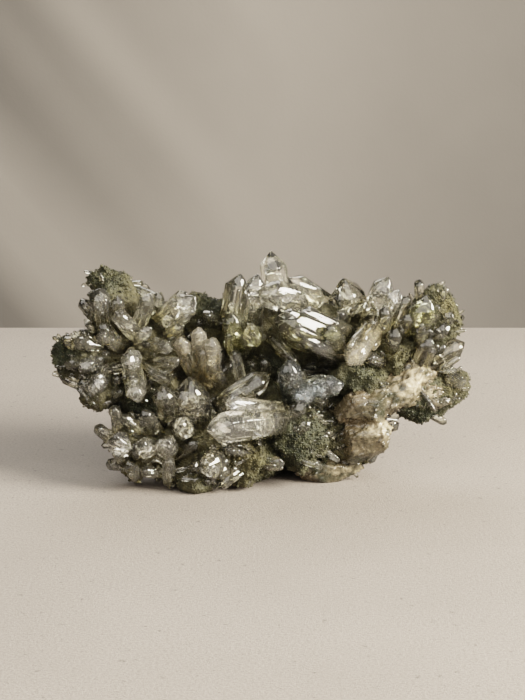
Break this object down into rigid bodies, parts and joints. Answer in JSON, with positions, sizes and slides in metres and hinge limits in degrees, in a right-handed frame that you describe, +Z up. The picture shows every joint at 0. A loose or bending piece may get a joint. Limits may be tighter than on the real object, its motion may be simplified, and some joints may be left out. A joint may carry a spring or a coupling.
{
  "type": "chlorite quartz cluster",
  "caption": "Boat-shaped mineral specimen: craggy green chlorite rock with sprays of clear and smoky quartz points and a broken slab of vein quartz.",
  "frame": {"origin": "on the surface that the rock stands on, under the middle of its outline", "axes": "+Z up, +X along the length of the cluster to the viewer's right, -Y towards the viewer, who sees the long display point in front"},
  "size_m": [0.1519, 0.0723, 0.0819],
  "materials": {
    "chlorite_rock": "matte",
    "vein_quartz": "satin",
    "clear_quartz": "polished",
    "smoky_quartz": "polished",
    "blue_quartz": "polished",
    "green_quartz": "polished"
  },
  "bodies": {
    "root": {"chlorite_rock": "chlorite_rock", "vein_quartz": "vein_quartz", "roof_prism": "clear_quartz", "dome_point": "clear_quartz", "barrel_point": "clear_quartz", "wing_points": "clear_quartz", "hanging_points": "clear_quartz", "pale_fan": "clear_quartz", "crown_points": "clear_quartz", "twin_points": "clear_quartz", "green_ridge_points": "green_quartz", "cross_prism": "smoky_quartz", "shoulder_block": "green_quartz", "shield_points": "smoky_quartz", "diagonal_point": "smoky_quartz", "left_foot_points": "clear_quartz", "display_points": "clear_quartz", "mirror_crystal": "smoky_quartz", "blue_points": "blue_quartz", "roof_block": "smoky_quartz", "leaning_points": "clear_quartz", "green_dome": "green_quartz", "bright_pillar": "clear_quartz", "right_edge_prism": "smoky_quartz", "rear_left_points": "clear_quartz", "rear_crest_points": "clear_quartz", "rear_right_points": "clear_quartz", "rear_low_points": "smoky_quartz"}
  },
  "joints": []
}
